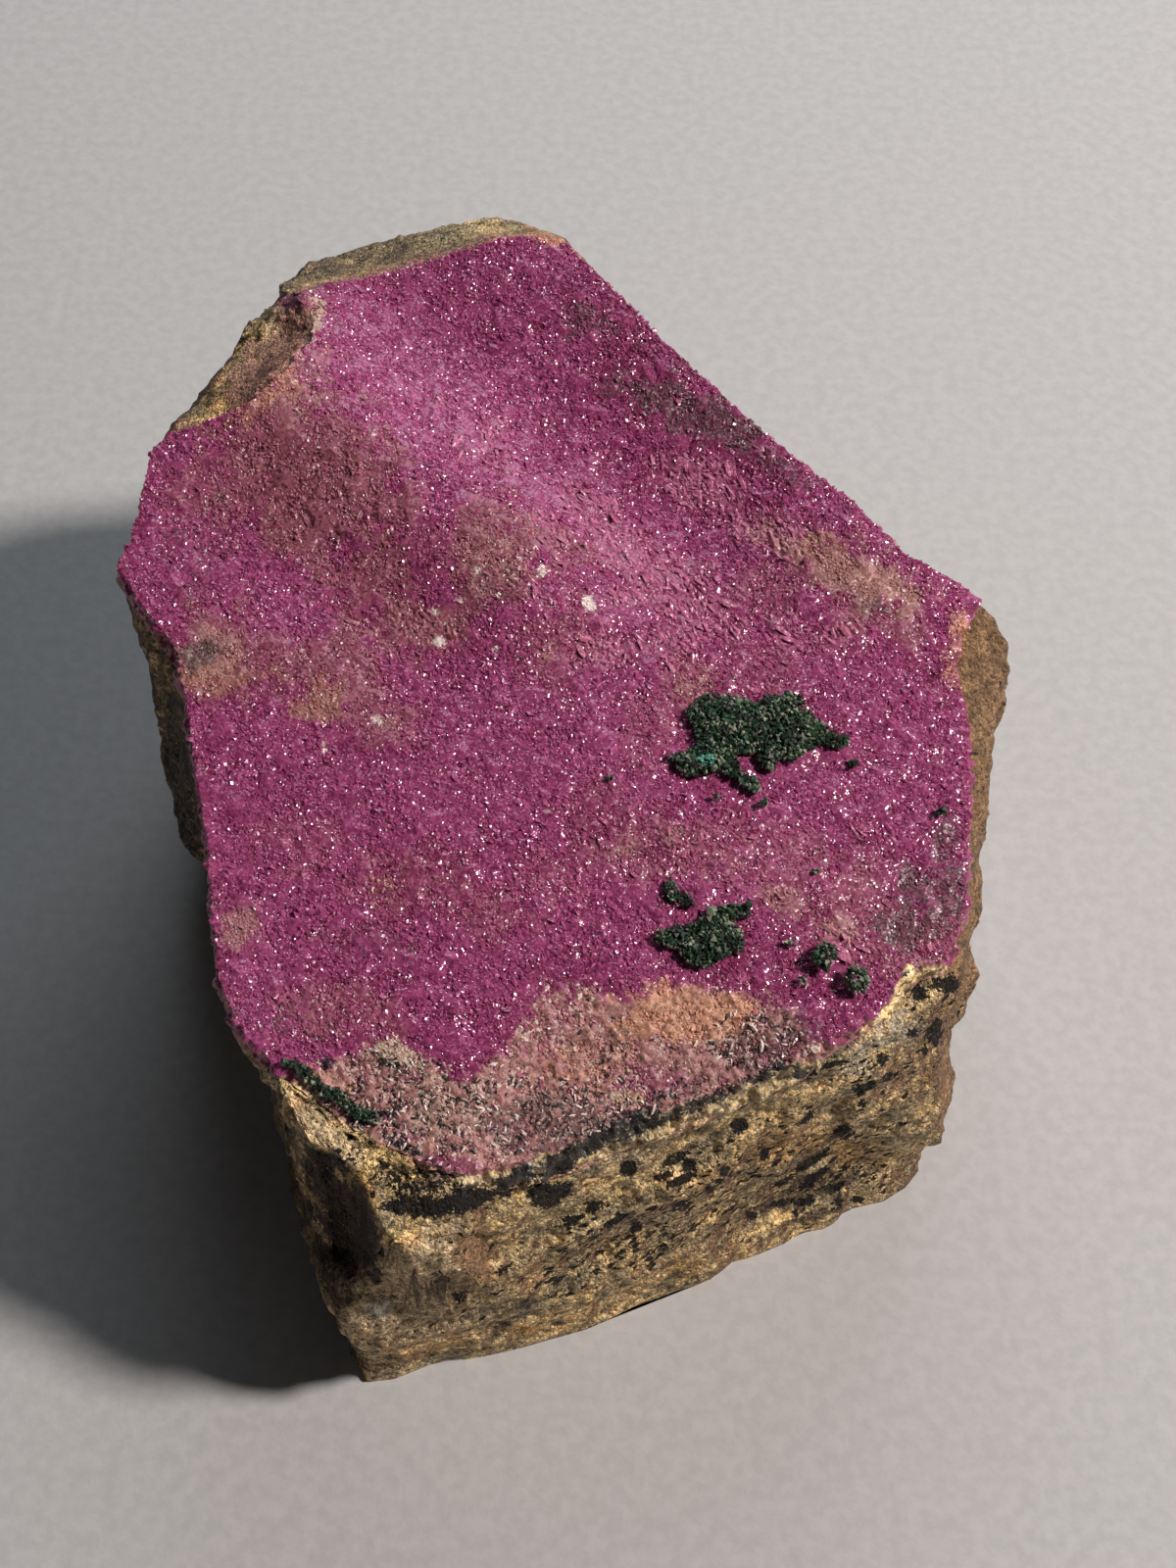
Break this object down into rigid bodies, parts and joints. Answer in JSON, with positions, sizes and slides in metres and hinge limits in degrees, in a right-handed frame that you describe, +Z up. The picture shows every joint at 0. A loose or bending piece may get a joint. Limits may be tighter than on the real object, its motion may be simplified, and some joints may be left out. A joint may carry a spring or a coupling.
{
  "type": "cobaltoan dolomite specimen",
  "caption": "Cabinet mineral specimen: a pink druse of dolomite crystals with green malachite on a flat-based block of speckled dolostone.",
  "frame": {"origin": "the middle of the specimen's box on the surface that it rests on", "axes": "+X to the right of the pink face, +Y towards its far, higher end, +Z up from the flat underside"},
  "size_m": [0.0894, 0.115, 0.0574],
  "materials": {
    "dolostone": "rough broken tan dolostone with black specks and rusty stains",
    "pink_dolomite": "sparkling magenta-pink druse of small glassy crystals",
    "malachite": "dark green, finely granular and dull"
  },
  "bodies": {
    "root": {"matrix": "dolostone", "dolomite_crust": "pink_dolomite", "malachite_large": "malachite", "malachite_lower": "malachite", "malachite_tail": "malachite", "malachite_seam": "malachite", "malachite_spot_1": "malachite", "malachite_spot_2": "malachite", "malachite_spot_3": "malachite", "malachite_spot_4": "malachite", "malachite_spot_5": "malachite", "malachite_spot_6": "malachite", "malachite_spot_7": "malachite", "malachite_spot_8": "malachite", "malachite_spot_9": "malachite", "malachite_spot_10": "malachite"}
  },
  "joints": []
}
